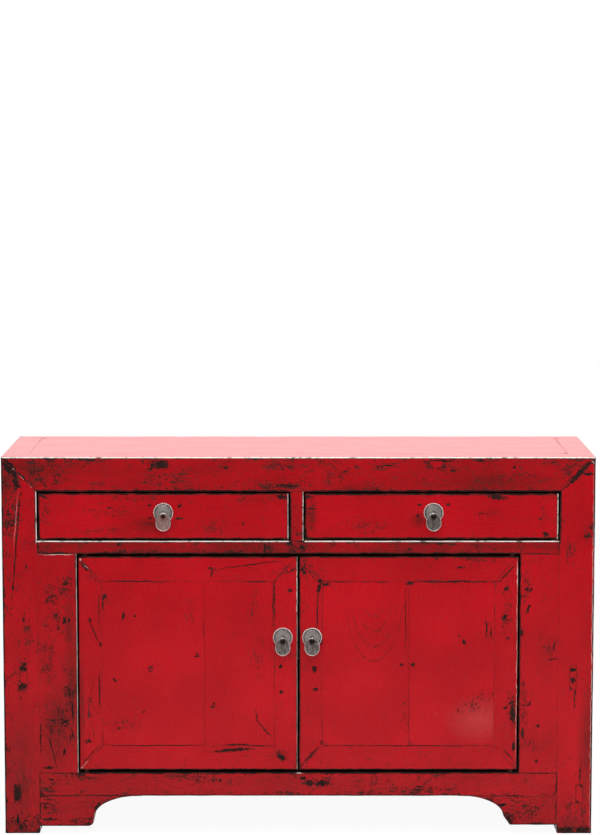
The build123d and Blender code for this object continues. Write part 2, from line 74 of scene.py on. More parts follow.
def add(tree, kind, *inputs, **settings):
    """A node of this kind (without ShaderNode, and with its operation) and these settings. Its inputs are
    values or other nodes, in the order of its sockets, or in a dict by name."""
    kind, *operation = kind.split()
    node = tree.nodes.new(kind if "Node" in kind else "ShaderNode" + kind)
    if operation:
        settings["operation"] = operation[0]
    for name, value in settings.items():
        setattr(node, name, value)
    if inputs and isinstance(inputs[0], dict):
        given = [(node.inputs[name], value) for name, value in inputs[0].items()]
    else:
        given = zip([socket for socket in node.inputs if socket.enabled], inputs)
    for socket, value in given:
        if isinstance(value, bpy.types.Node):
            value = next(output for output in value.outputs if output.enabled)
        if isinstance(value, bpy.types.NodeSocket):
            tree.links.new(value, socket)
        else:
            socket.default_value = value
    return node


def empty_tree(owner):
    """The node tree of this material or world, with nothing in it."""
    owner.use_nodes = True
    owner.node_tree.nodes.clear()
    return owner.node_tree


floor_size = (9.0, 7.0)
floor_middle = (0.0, 0.9)
floor_white = "#f2f2f0"
floor_glow = 0.94  # how far the floor is plain white where it is seen or mirrored
room_dim = 0.05  # the room behind the camera, as the lacquer mirrors it
room_starts, room_full = 0.15, -0.25  # the Y of a direction in which the room begins, and is all there is
room_light = 0.42
lamps = {
    # name: (place, aimed at, width, height, watts)
    "softbox_above": ((0.45, -0.45, 3.1), (0.0, 0.0, 0.5), 3.2, 2.0, 150),
    "softbox_right": ((3.1, -1.5, 1.0), (0.2, 0.0, 0.45), 1.2, 2.0, 26),
    "softbox_front": ((-0.9, -5.2, 3.4), (0.0, 0.0, 0.4), 2.6, 1.6, 112),
}

floor_mesh = bpy.data.meshes.new("studio_floor")
floor_mesh.from_pydata([(floor_middle[0] + x * floor_size[0] / 2, floor_middle[1] + y * floor_size[1] / 2, 0)
                        for x, y in ((-1, -1), (1, -1), (1, 1), (-1, 1))], [], [(0, 1, 2, 3)])
floor = add_object("studio_floor", floor_mesh)
paint = bpy.data.materials.new("pale_floor_paint")
tree = empty_tree(paint)
path = add(tree, "LightPath")
seen = add(tree, "Math MAXIMUM", path.outputs["Is Camera Ray"], path.outputs["Is Glossy Ray"])
seen = add(tree, "Math MAXIMUM", seen, path.outputs["Is Transmission Ray"])
share = add(tree, "Math MULTIPLY", seen, floor_glow)
matt = add(tree, "BsdfDiffuse", linear(floor_white))
white = add(tree, "Emission", (1, 1, 1, 1), 1.0)
mixed = add(tree, "MixShader", share, matt, white)
add(tree, "OutputMaterial", mixed)
floor_mesh.materials.append(paint)

world = bpy.data.worlds.new("studio")
bpy.context.scene.world = world
tree = empty_tree(world)
path = add(tree, "LightPath")
toward = add(tree, "SeparateXYZ", add(tree, "TexCoord").outputs["Generated"])
behind = add(tree, "MapRange", toward.outputs["Y"], room_full, room_starts, room_dim, 1.0)
mirrored = add(tree, "Math MAXIMUM", path.outputs["Is Glossy Ray"], path.outputs["Is Transmission Ray"])
level = add(tree, "Mix", mirrored, room_light, behind, data_type="FLOAT")
level = add(tree, "Mix", path.outputs["Is Camera Ray"], level, 1.0, data_type="FLOAT")
back = add(tree, "Background", (1, 1, 1, 1), level)
add(tree, "OutputWorld", back)

for name, (place, aim, wide, tall, watts) in lamps.items():
    lamp = add_object(name, bpy.data.lights.new(name, "AREA"))
    lamp.data.shape = "RECTANGLE"
    lamp.data.size, lamp.data.size_y = wide, tall
    lamp.data.energy = watts
    lamp.location = place
    lamp.rotation_euler = (Vector(aim) - Vector(place)).to_track_quat("-Z", "Y").to_euler()

# ---- Posts ----
# Four square posts, mitred at the top into the rails; below the cabinet they are its feet. Softwood
# under thick red lacquer, rubbed through to dark wood along arrises, joints, knots and cracks. Arrises
# that face the lamps are painted pale, a painted highlight, those that face away painted dark, a painted
# shade, and the tops take a brighter red, painted light from above.
lacquer_reds = ("#940611", "#a20714")
polished_and_lit_reds = ("#b80917", "#c20b19")  # the top: a brighter red, painted light from the softbox above, on lacquer wiped often
brown_glaze = "#33120d"
# the dark of wood worn bare, used also for the painted shade on arrises that face away from the lamps
worn_wood_and_shade = "#150706"
worn_wood_and_shade_pale = "#3a1914"
# pale, painted on arrises lit from above or the right as a painted highlight, and the pale of rubs and scuffs
pale_highlight_and_rub = "#b9afa9"
bare_wood = "#21150f"
bare_wood_pale = "#3d291c"
grain_stretch = 6.0
noise_sizes = {
    # pattern: (runs with the grain, size in mm, detail). The finest are drawn coarser than they are on
    # the wood, where they would be too fine to show.
    "mottle": (False, 160.0, 3), "cloud": (True, 42.0, 3), "patch": (False, 26.0, 4),
    "highlight_and_rub": (False, 14.0, 4), "ragged": (True, 5.0, 5), "gnawed": (False, 4.0, 5), "streak": (True, 4.0, 4),
    "fleck": (False, 5.0, 3), "speck": (False, 3.4, 1), "dash": (True, 3.4, 3), "chip": (True, 10.0, 5),
}
wear_patterns = {
    # pattern: (level where it starts, level where it is full, how dark)
    "fleck": (0.70, 0.75, 0.9), "speck": (0.66, 0.74, 0.55), "dash": (0.69, 0.75, 0.9),
    "chip": (0.77, 0.79, 1.0),
}
wear_levels = {
    # use: (pattern, level where it starts, level where it is full, least)
    "thinned": ("patch", 0.46, 0.70, 0.0), "filled": ("patch", 0.34, 0.50, 0.55),
    "opened": ("mottle", 0.38, 0.54, 0.35), "ringed": ("ragged", 0.42, 0.52, 0.0),
    "scuffed": ("gnawed", 0.35, 0.70, 0.5), "highlit_and_rubbed": ("highlight_and_rub", 0.30, 0.46, 0.12),
    "reddened": ("mottle", 0.35, 0.65, 0.0), "fibrous": ("dash", 0.45, 0.75, 0.0),
    "planed": ("streak", 0.35, 0.65, 0.0),
}
joint_raggedness = 6.0  # mm
mark_raggedness = 3.2  # half widths
front_plane = -0.187  # m, where the marks on the front are placed
wobble_reach = 0.006  # m, of the unevenness in the outline of a mark
rings_seen_below = 0.54  # m above the floor


def lacquer(name, glaze, flecks, wear=0.7, seams=1.0, highlit_and_rubbed=1.0, marks=(), highlights_and_rubs=(), knots=(), shades=(),
            arcs=(), scuffs=(), polished_and_lit=False):
    """Old red lacquer on softwood. Arrises lit from above or the right are painted pale, a painted highlight,
    and those that aren't painted dark, a painted shade among the wear; the polished top takes a brighter
    red, painted light from above. Every mark (dark), rub (pale: a painted highlight along a lit edge, or a
    pale line in a crack or mitre), knot (where flecks gather), shade (brown; beside a drawer's pull, a
    painted shadow of its drop), arc (of growth rings) and scuff is (x, z, half length, half width), in mm on
    the front, with its turn in degrees where it is turned."""
    made = bpy.data.materials.new("red_lacquer_" + name)
    tree = empty_tree(made)
    place = add(tree, "TexCoord").outputs["Object"]
    grain = add(tree, "Attribute", attribute_name="grain").outputs["Vector"]
    past_lit, past_dim, to_joint, bare, shown = (
        add(tree, "Attribute", attribute_name=held).outputs["Fac"]
        for held in ("past_lit", "past_dim", "to_joint", "bare", "shown"))
    noise = {
        pattern: add(tree, "TexNoise", grain if with_grain else place, 1000.0 / size, detail)
        for pattern, (with_grain, size, detail) in noise_sizes.items()}
    worn = {use: add(tree, "MapRange", noise[pattern], start, full, least)
            for use, (pattern, start, full, least) in wear_levels.items()}
    wobble = add(tree, "TexNoise", place, 60.0, 3).outputs["Color"]
    wobble = add(tree, "VectorMath SUBTRACT", wobble, (0.5, 0.5, 0.5))
    shaken = add(tree, "VectorMath MULTIPLY_ADD", wobble, [wobble_reach] * 3, place)

    def reach(ellipses, deep=30.0):
        """How far from the nearest ellipse's middle, 1 being its rim."""
        nearest = None
        for x, z, half_length, half_width, *turn in ellipses:
            there = add(tree, "Mapping", {
                "Vector": shaken, "Location": (x / 1000, front_plane, z / 1000),
                "Rotation": (0, -math.radians(turn[0]) if turn else 0, 0),
                "Scale": (half_length / 1000, deep / 1000, half_width / 1000)}, vector_type="TEXTURE")
            there = add(tree, "VectorMath LENGTH", there)
            if nearest:
                there = add(tree, "Math MINIMUM", nearest, there)
            nearest = there
        return nearest or 9.0

    # flecks, dashes in the grain and chips, more of them where the lacquer has thinned
    edge = add(tree, "Math MINIMUM", past_lit, past_dim)
    edge = add(tree, "MapRange", edge, 26.0, 0.0, 0.0, 0.5)
    gathered = add(tree, "MapRange", reach(knots), 1.25, 0.35, 0.0, 1.0 / flecks)
    thin = add(tree, "Math ADD", edge, worn["thinned"])
    thin = add(tree, "Math ADD", thin, gathered)
    thin = add(tree, "Math MULTIPLY_ADD", thin, 0.11 * flecks, -0.05 * (1 - flecks))
    dark = 0.0
    for pattern, (start, full, most) in wear_patterns.items():
        level = add(tree, "Math ADD", noise[pattern], thin)
        level = add(tree, "MapRange", level, start, full, 0.0, most)
        dark = add(tree, "Math MAXIMUM", dark, level)

    # joints open a little, marks worn through, and the growth rings that show under thin lacquer
    joint = add(tree, "Math MULTIPLY_ADD", noise["ragged"], -joint_raggedness, to_joint)
    joint = add(tree, "MapRange", joint, -1.6, -2.4, 0.0, seams)
    for use in ("filled", "opened"):
        joint = add(tree, "Math MULTIPLY", joint, worn[use])
    mark = add(tree, "Math MULTIPLY_ADD", noise["gnawed"], -mark_raggedness, reach(marks))
    mark = add(tree, "MapRange", mark, -0.58, -0.8)
    dark = add(tree, "Math MAXIMUM", dark, mark)
    if arcs:
        ring = reach(arcs)
        level = add(tree, "SeparateXYZ", place).outputs["Z"]
        within = add(tree, "Math LESS_THAN", ring, 1.08)
        lower = add(tree, "MapRange", level, rings_seen_below, 0.5)
        within = add(tree, "Math MULTIPLY", within, lower)
        ring = add(tree, "Math MULTIPLY", ring, 5.0)
        ring = add(tree, "Math PINGPONG", ring, 0.5)
        ring = add(tree, "MapRange", ring, 0.06, 0.02, 0.0, 0.8)
        for share in (worn["ringed"], within):
            ring = add(tree, "Math MULTIPLY", ring, share)
        dark = add(tree, "Math MAXIMUM", dark, ring)

    # arrises: painted dark where unlit, a painted shade among the wear, and a dark worn line beside the
    # painted highlight where lit
    beside = add(tree, "Math MULTIPLY_ADD", noise["ragged"], -8.0 * wear, past_lit)
    beside = add(tree, "MapRange", beside, 0.2 - 2.9 * wear, -0.4 - 2.9 * wear)
    dark = add(tree, "Math MAXIMUM", dark, beside)
    dark = add(tree, "Math MULTIPLY", dark, 0.3 if polished_and_lit else 1.0)
    unlit = add(tree, "Math MULTIPLY_ADD", noise["gnawed"], -7.0 * wear, past_dim)
    unlit = add(tree, "MapRange", unlit, 0.3 - 1.6 * wear, -0.5 - 1.6 * wear)
    unlit = add(tree, "Math MULTIPLY", unlit, worn["filled"])
    for line in (unlit, joint):
        dark = add(tree, "Math MAXIMUM", dark, line)

    # the red itself (brighter on the polished top, painted light from above), the glaze that has browned over
    # it, what is worn, and the pale painted highlight on lit arrises
    deep, red = polished_and_lit_reds if polished_and_lit else lacquer_reds
    colour = add(tree, "Mix", worn["reddened"], linear(deep), linear(red), data_type="RGBA")
    dark_wood_and_shade = add(tree, "Mix", worn["fibrous"], linear(worn_wood_and_shade), linear(worn_wood_and_shade_pale), data_type="RGBA")
    brown = add(tree, "MapRange", noise["cloud"], 0.3, 0.75, 0.35 * glaze, glaze)
    shade = add(tree, "MapRange", reach(shades), 1.35, 0.1, 0.0, 0.75)
    brown = add(tree, "Math MAXIMUM", brown, shade)
    for pattern, low, high in (("streak", 0.55, 1.05), ("speck", 0.75, 1.2)):
        level = add(tree, "MapRange", noise[pattern], 0.3, 0.68, low, high)
        brown = add(tree, "Math MULTIPLY", brown, level)
    brown = add(tree, "Math MULTIPLY", brown, 0.5 if polished_and_lit else 1.0)
    haze = add(tree, "MapRange", reach(scuffs), 1.4, 0.0, 0.0, 0.07)
    haze = add(tree, "Math MULTIPLY", haze, worn["scuffed"])
    # a painted highlight: pale on arrises lit from above or the right, and along the listed rubs, broken up
    # by noise
    highlight_and_rub = add(tree, "MapRange", past_lit, -0.1, -0.8, 0.0, highlit_and_rubbed)
    line = add(tree, "MapRange", reach(highlights_and_rubs, 5.0), 1.2, 0.6, 0.0, 0.9)
    highlight_and_rub = add(tree, "Math MAXIMUM", highlight_and_rub, line)
    for share in (worn["highlit_and_rubbed"], shown):
        highlight_and_rub = add(tree, "Math MULTIPLY", highlight_and_rub, share)
    planed = add(tree, "Mix", worn["planed"], linear(bare_wood), linear(bare_wood_pale), data_type="RGBA")
    for over, covered in ((linear(brown_glaze), brown), (linear(pale_highlight_and_rub), haze), (dark_wood_and_shade, dark),
                          (linear(pale_highlight_and_rub), highlight_and_rub), (planed, bare)):
        colour = add(tree, "Mix", covered, colour, over, data_type="RGBA")

    dull = add(tree, "Math MAXIMUM", dark, bare)
    smooth, coarse = (0.1, 0.16) if polished_and_lit else (0.24, 0.3)
    rough = add(tree, "MapRange", noise["streak"], 0.3, 0.7, smooth, coarse)
    rough = add(tree, "Math MULTIPLY_ADD", dull, 0.4, rough)
    height = add(tree, "Math MULTIPLY", noise["streak"], 0.05 if polished_and_lit else 0.18)
    height = add(tree, "Math SUBTRACT", height, dark)
    relief = add(tree, "Bump", {"Height": height, "Strength": 0.5, "Distance": 0.00012})
    skin = add(tree, "BsdfPrincipled", {
        "Base Color": colour, "Roughness": rough, "Normal": relief, "IOR": 1.5,
        "Specular IOR Level": 0.5 if polished_and_lit else 0.12})
    add(tree, "OutputMaterial", skin)
    return made


def modifier_tree(name, inputs):
    """A Geometry Nodes tree for a mesh, its first input, with the identifiers and sockets of its inputs."""
    tree = bpy.data.node_groups.new(name, "GeometryNodeTree")
    identifiers = {
        label: tree.interface.new_socket(label, in_out="INPUT", socket_type="NodeSocket" + kind).identifier
        for label, kind in inputs.items()}
    tree.interface.new_socket("Mesh", in_out="OUTPUT", socket_type="NodeSocketGeometry")
    return tree, identifiers, add(tree, "NodeGroupInput").outputs


def board_tree():
    """Geometry Nodes that age a board: uneven faces, worn arrises, and what the lacquer needs to know."""
    tree, identifiers, given = modifier_tree("aged_board", {
        "Board": "Geometry", "Lines": "Object", "Arris": "Float", "Grain": "Vector", "Seed": "Float",
        "Unevenness": "Float", "Wear": "Float", "Bareness": "Float", "Finish": "Material",
        "Top Finish": "Material"})
    lines = add(tree, "GeometryNodeObjectInfo", given["Lines"], transform_space="ORIGINAL")
    edge_kind = add(tree, "GeometryNodeInputNamedAttribute", "kind", data_type="INT")
    reach = []  # mm from the nearest joint, lit arris and unlit arris
    for number in range(3):
        same = add(tree, "FunctionNodeCompare EQUAL", edge_kind, number, data_type="INT")
        edges = add(tree, "GeometryNodeSeparateGeometry", lines.outputs["Geometry"], same, domain="EDGE")
        near = add(tree, "GeometryNodeProximity", edges, target_element="EDGES")
        far = add(tree, "Math MULTIPLY", near.outputs["Distance"], 1000.0)
        reach.append(add(tree, "GeometryNodeSwitch", near.outputs["Is Valid"], 100.0, far,
                         input_type="FLOAT"))
    to_joint, to_lit, to_unlit = reach
    past_lit = add(tree, "Math SUBTRACT", to_lit, given["Arris"])
    past_dim = add(tree, "Math SUBTRACT", to_unlit, given["Arris"])

    place = add(tree, "GeometryNodeInputPosition")
    shift = add(tree, "VectorMath SCALE", (3.1, 7.7, 1.3), given["Seed"])
    moved = add(tree, "VectorMath ADD", place, shift)
    along = add(tree, "VectorMath DOT_PRODUCT", place, given["Grain"])
    along = add(tree, "Math MULTIPLY", along, 1 / grain_stretch - 1)
    squeeze = add(tree, "VectorMath SCALE", given["Grain"], along)
    grain = add(tree, "VectorMath ADD", moved, squeeze)

    wave = add(tree, "TexNoise", moved, 11.0, 1.0)
    wave = add(tree, "MapRange", wave, 0.3, 0.7, -1.0)
    flush = add(tree, "MapRange", to_joint, 0.0, 14.0)
    for share in (given["Unevenness"], flush):
        wave = add(tree, "Math MULTIPLY", wave, share)
    chip = add(tree, "TexNoise", moved, 32.0, 2.0)
    chip = add(tree, "MapRange", chip, 0.42, 0.68)
    to_arris = add(tree, "Math MINIMUM", to_lit, to_unlit)
    at_arris = add(tree, "MapRange", to_arris, 3.0, 0.0)
    for share in (at_arris, given["Wear"]):
        chip = add(tree, "Math MULTIPLY", chip, share)
    push = add(tree, "Math SUBTRACT", wave, chip)
    normal = add(tree, "GeometryNodeInputNormal")
    push = add(tree, "VectorMath SCALE", normal, push)

    hidden = add(tree, "GeometryNodeInputNamedAttribute", "hidden", data_type="INT")
    bare = add(tree, "Math MULTIPLY", hidden, given["Bareness"])
    shown = add(tree, "Math SUBTRACT", 1.0, hidden)
    shape = given["Board"]
    for name, value, kind, domain in (
            ("past_lit", past_lit, "FLOAT", "POINT"), ("past_dim", past_dim, "FLOAT", "POINT"),
            ("to_joint", to_joint, "FLOAT", "POINT"), ("grain", grain, "FLOAT_VECTOR", "POINT"),
            ("bare", bare, "FLOAT", "FACE"), ("shown", shown, "FLOAT", "FACE")):
        shape = add(tree, "GeometryNodeStoreNamedAttribute", {
            "Geometry": shape, "Name": name, "Value": value}, data_type=kind, domain=domain)
    shape = add(tree, "GeometryNodeSetPosition", {"Geometry": shape, "Offset": push})
    shape = add(tree, "GeometryNodeRealizeInstances", shape)
    shape = add(tree, "GeometryNodeSetMaterial", {"Geometry": shape, "Material": given["Finish"]})
    # faces that point straight up take the top finish: a brighter red, painted light from above
    up = add(tree, "SeparateXYZ", normal).outputs["Z"]
    up = add(tree, "FunctionNodeCompare GREATER_THAN", up, 0.98, data_type="FLOAT")
    shape = add(tree, "GeometryNodeSetMaterial", {
        "Geometry": shape, "Selection": up, "Material": given["Top Finish"]})
    add(tree, "NodeGroupOutput", shape)
    return tree, identifiers


def shade_smooth(form, crease):
    """Smooth faces, with a sharp edge where they turn by more than this many degrees."""
    for face in form.faces:
        face.smooth = True
    for edge in form.edges:
        edge.smooth = len(edge.link_faces) == 2 and edge.calc_face_angle(0) < math.radians(crease)


def run_tree(piece, tree_and_identifiers, values, even_normals=False):
    """Run a Geometry Nodes tree on the piece's mesh, once, with these values for its inputs."""
    tree, identifiers = tree_and_identifiers
    nodes = piece.modifiers.new(tree.name, "NODES")
    nodes.node_group = tree
    for name, value in values.items():
        nodes[identifiers[name]] = value
    if even_normals:
        piece.modifiers.new("normals", "WEIGHTED_NORMAL").keep_sharp = True
    bpy.context.view_layer.update()
    done = bpy.data.meshes.new_from_object(piece.evaluated_get(bpy.context.evaluated_depsgraph_get()))
    piece.modifiers.clear()
    piece.data = done


aged_board = board_tree()
boxes = {name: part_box(name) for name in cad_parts}
shapes = {}
for name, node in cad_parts.items():
    shapes[name] = BVHTree.FromPolygons([v.co for v in node.data.vertices],
                                        [p.vertices for p in node.data.polygons])
inside_low = (-0.652, -0.1845, 0.138)
inside_high = (0.652, 0.2, 0.852)
in_floor_shade = 0.03  # m above the floor, below which no arris is lit
joint_gap = 0.0008  # m, less than which closes a joint
same_level = 2e-5  # m between levels that count as one
same_point = 1e-5  # m
same_plane = math.radians(1)  # between faces that count as one
least_turn = math.radians(30)  # between the faces of an arris
towards_light = 0.5  # the least of the sum of its faces' normals, for an arris to be lit
cut_step = 13.0  # mm between cuts across a board
cut_least = 5
cut_room = 4.0  # mm between levels, where a cut on one isn't crowded
unevenness = 0.22  # mm
axes = {"x": (1, 0, 0), "y": (0, 1, 0), "z": (0, 0, 1)}


def age(node, grain, finish, seed, body="carcass", arris=1.6, wear=0.9, bareness=1.0, lit_top_finish=None,
        top_lit=True, side_lit=True):
    """A worn board in place of a CAD node: free arrises rounded, faces uneven, joints left tight. An arris
    is painted pale where it is lit from above or the right, a painted highlight, and painted dark where it
    isn't, a painted shade along with its wear."""
    low, high = boxes[node]
    near = [shapes[n] for n, (a, b) in boxes.items() if n != node and all(
        a[i] < high[i] + 0.001 and b[i] > low[i] - 0.001 for i in range(3))]
    form = bmesh.new()
    form.from_mesh(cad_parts[node].data)
    bmesh.ops.remove_doubles(form, verts=form.verts, dist=same_point)
    bmesh.ops.dissolve_limit(form, angle_limit=same_plane, verts=form.verts, edges=form.edges)
    bmesh.ops.triangulate(form, faces=form.faces, ngon_method="BEAUTY")
    hidden = form.faces.layers.int.new("hidden")
    for face in form.faces:
        face[hidden] = all(a < c < b for a, b, c in zip(inside_low, inside_high, face.calc_center_median()))
    # cuts across it: on the levels of its own corners where these aren't crowded, and evenly between
    cuts = []
    for i in range(3):
        levels = sorted({round(v.co[i], 5) for v in form.verts})
        levels = [b for a, b in zip([-math.inf] + levels, levels) if b - a > same_level]
        for k, (a, b) in enumerate(zip(levels, levels[1:])):
            if k and a - levels[k - 1] > cut_room / 1000 < b - a:
                cuts.append((i, a))
            count = min(math.ceil((b - a) * 1000 / cut_step), int((b - a) * 1000 / cut_least))
            cuts += [(i, a + (b - a) * n / count) for n in range(1, count)]
    for i, level in cuts:
        axis = Vector([float(i == j) for j in range(3)])
        shown = [f for f in form.faces if not f[hidden]]
        edges = dict.fromkeys(e for f in shown for e in f.edges)
        corners = dict.fromkeys(v for e in edges for v in e.verts)
        bmesh.ops.bisect_plane(form, geom=[*corners, *edges, *shown], dist=same_level,
                               plane_co=axis * level, plane_no=axis)
    slanted = [e for e in form.edges if len(e.link_faces) == 2 and e.calc_face_angle(0) < same_plane
               and sum(abs(d) < same_level for d in e.verts[0].co - e.verts[1].co) < 2]
    bmesh.ops.dissolve_edges(form, edges=slanted, use_verts=True)
    # the solids of one node, each with a tree of the others beside it
    left, solid_of, solids = dict.fromkeys(form.faces), {}, []
    while left:
        todo, solid = [left.popitem()[0]], []
        while todo:
            face = todo.pop()
            solid.append(face)
            solid_of[face] = len(solids)
            for edge in face.edges:
                for other in edge.link_faces:
                    if other in left:
                        del left[other]
                        todo.append(other)
        solids.append(solid)
    trees = []
    for solid in solids:
        corners = {v: i for i, v in enumerate(dict.fromkeys(v for f in solid for v in f.verts))}
        faces = [[corners[v] for v in f.verts] for f in solid]
        trees.append(BVHTree.FromPolygons([v.co for v in corners], faces))
    form.normal_update()
    sharp = [e for e in form.edges
             if len(e.link_faces) == 2 and e.is_convex and e.calc_face_angle(0) > least_turn]
    points, lines, kinds, rounded = [], [], [], []
    for edge in sharp:
        middle = (edge.verts[0].co + edge.verts[1].co) / 2
        beside = near + [t for i, t in enumerate(trees) if i != solid_of[edge.link_faces[0]]]
        joined = any(t.find_nearest(middle, joint_gap)[0] is not None for t in beside)
        lines.append((len(points), len(points) + 1))
        points += [edge.verts[0].co.copy(), edge.verts[1].co.copy()]
        # an arris that faces the lamps, up or to the right, gets a painted highlight, and one facing away
        # painted shade
        facing = edge.link_faces[0].normal + edge.link_faces[1].normal
        lit = (facing.z if abs(facing.z) > 0.3 else facing.x) > towards_light
        lit = lit and (top_lit if facing.z > towards_light else side_lit) and middle.z > in_floor_shade
        kinds.append(0 if joined else 1 if lit else 2)
        if not joined and not all(face[hidden] for face in edge.link_faces):
            rounded.append(edge)
    bevel = bmesh.ops.bevel(form, geom=rounded, offset=arris / 1000, offset_type="OFFSET", segments=3,
                            profile=0.5, affect="EDGES", clamp_overlap=False)
    for face in bevel["faces"]:
        face[hidden] = 0
    line_mesh = bpy.data.meshes.new("lines")
    line_mesh.from_pydata(points, lines, [])
    line_mesh.attributes.new("kind", "INT", "EDGE").data.foreach_set("value", kinds)
    line_object = add_object("lines", line_mesh)
    form.normal_update()
    # an edge from line to line and a face in a corner get a point halfway, so that the lines stay narrow
    line_tree = BVHTree.FromPolygons(points, [(a, b, b) for a, b in lines])
    on_line = {v for v in form.verts if line_tree.find_nearest(v.co, arris * 1.05 / 1000)[0] is not None}
    across = [e for e in form.edges if len(e.link_faces) == 2 and e.calc_face_angle(0) < math.radians(5)
              and all(v in on_line for v in e.verts) and e.calc_length() > 0.005
              and not any(f[hidden] for f in e.link_faces)]
    bmesh.ops.subdivide_edges(form, cuts=1, edges=across)
    # which leaves the faces in another order in every run
    form.verts.index_update()
    form.faces.sort(key=lambda f: sum(
        i / len(form.verts) ** k for k, i in enumerate(sorted(v.index for v in f.verts))))
    cornered = [f for f in form.faces if sum(v in on_line for v in f.verts) > 2 and not f[hidden]
                and max(abs(c) for c in f.normal) > 0.98 and f.calc_area() > 1.2e-5]
    bmesh.ops.poke(form, faces=cornered)
    shade_smooth(form, 35)
    mesh = bpy.data.meshes.new(node + "_aged")
    form.to_mesh(mesh)
    form.free()
    piece = add_object(node + "_aged", mesh)
    run_tree(piece, aged_board, {
        "Lines": line_object, "Arris": arris, "Grain": axes[grain], "Seed": float(seed),
        "Unevenness": unevenness / 1000, "Wear": wear / 1000, "Bareness": bareness, "Finish": finish,
        "Top Finish": lit_top_finish or finish}, even_normals=True)
    bpy.data.objects.remove(line_object)
    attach(piece, body)
    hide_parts(node)
    return piece


left_post = lacquer(
    "left_post", glaze=0.26, flecks=1.0, wear=0.8, seams=0.35,
    marks=[(-627, 666, 142, 1.9, 85), (-643, 828, 27, 7, -52), (-627, 806, 16, 4, -62),
           (-644, 727, 7, 2.4, 30), (-607, 609, 5, 2.4, 85), (-615, 384, 10, 4.6, 60),
           (-622, 336, 10, 4.6, 70), (-618, 352, 6, 3, 20), (-637, 560, 5, 3, 80), (-628, 795, 20, 5, 90),
           (-622, 790, 5, 5)],
    knots=[(-640, 805, 60, 30, 70), (-618, 360, 50, 20, 85), (-640, 720, 70, 24, 85), (-630, 26, 50, 26),
           (-605, 460, 40, 14, 90)],
    highlights_and_rubs=[(-628, 716, 60, 0.24, 85), (-620, 353, 9, 1, 70)],
    shades=[(-625, 110, 190, 55, 90), (-650, 800, 70, 30, 80), (-622, 8, 50, 30)])
right_post = lacquer(
    "right_post", glaze=0.24, flecks=0.6, wear=0.8, seams=0.35,
    marks=[(655, 851, 9, 3, -40), (620, 814, 44, 5.5, 43.5), (652, 845, 10, 6), (645, 817, 11, 4),
           (643, 677, 10, 3), (618, 355, 10, 5, 70), (619, 312, 26, 1.8, 90), (633, 106, 6, 6),
           (633, 138, 18, 2, 90), (605, 8, 24, 8), (640, 8, 24, 8)],
    knots=[(625, 826, 55, 20, 43), (645, 690, 40, 16, 80), (605, 640, 40, 18, 90), (620, 60, 45, 36)],
    # the long rub down the right outer arris and the one at its top corner are a painted highlight
    highlights_and_rubs=[(656, 418, 422, 0.45, 90), (652, 845.5, 8, 0.8, -42)],
    shades=[(648, 200, 190, 22, 88), (620, 20, 60, 30)])
back_posts = lacquer("back_posts", glaze=0.3, flecks=0.8, wear=0.6)
# the top's glossier lacquer, with a brighter red painted as light from above
polished_and_lit_top = lacquer("polished_and_lit_top", glaze=0.08, flecks=0.2, wear=0.3, polished_and_lit=True)
age("post_front_left", "z", left_post, 1, arris=2.4, lit_top_finish=polished_and_lit_top)
age("post_front_right", "z", right_post, 2, arris=2.0, lit_top_finish=polished_and_lit_top, side_lit=False)
age("post_back_left", "z", back_posts, 3, arris=2.0, lit_top_finish=polished_and_lit_top, side_lit=False)
age("post_back_right", "z", back_posts, 4, arris=2.0, lit_top_finish=polished_and_lit_top, side_lit=False)

# ---- Top ----
# Four rails mitred to each other and to the posts, round a floating panel that lies flush with them.
# The front rail's lacquer has darkened most, brown in the grain and black along its edges. The top
# faces take a brighter red, painted light from above, on glossier lacquer.
front_top_rail = lacquer(
    "front_top_rail", glaze=0.58, flecks=1.0, wear=0.8,
    marks=[(-310, 838, 21, 10), (-327, 829, 6, 4), (-161, 832, 5, 5, 60), (294, 838, 9, 9),
           (321, 846, 20, 4.4), (316, 832, 14, 3.2), (342, 824, 8, 3.6), (402, 848, 15, 3.6),
           (-640, 836, 32, 6.5, -48), (-613, 810, 24, 2.6, -48), (626, 822, 42, 6, 43.5), (-205, 778, 30, 4),
           (480, 832, 5, 3, 60)],
    knots=[(-560, 822, 60, 34), (-450, 848, 40, 8), (-290, 806, 60, 20), (-40, 832, 60, 10),
           (90, 822, 70, 14), (190, 832, 60, 12, 10), (330, 830, 60, 14), (470, 812, 50, 10),
           (-30, 790, 60, 8), (600, 828, 40, 20, 45)],
    highlights_and_rubs=[(-605, 800, 24, 0.3, -45), (-633, 826, 4, 1.6, 60)],
    shades=[(-600, 828, 80, 30, -30), (-30, 791, 60, 14), (140, 785, 90, 12), (430, 800, 220, 40)])
top_rails = lacquer("top_rails", glaze=0.3, flecks=0.7, wear=0.5, seams=0.6)
age("top_rail_front", "x", front_top_rail, 5, arris=3.0, lit_top_finish=polished_and_lit_top)
age("top_rail_back", "x", top_rails, 6, arris=1.2, wear=0.4, lit_top_finish=polished_and_lit_top)
age("top_rail_left", "y", top_rails, 7, arris=1.6, wear=0.4, lit_top_finish=polished_and_lit_top)
age("top_rail_right", "y", top_rails, 8, arris=1.6, wear=0.4, lit_top_finish=polished_and_lit_top)
age("top_panel", "x", polished_and_lit_top, 9, wear=0.3)

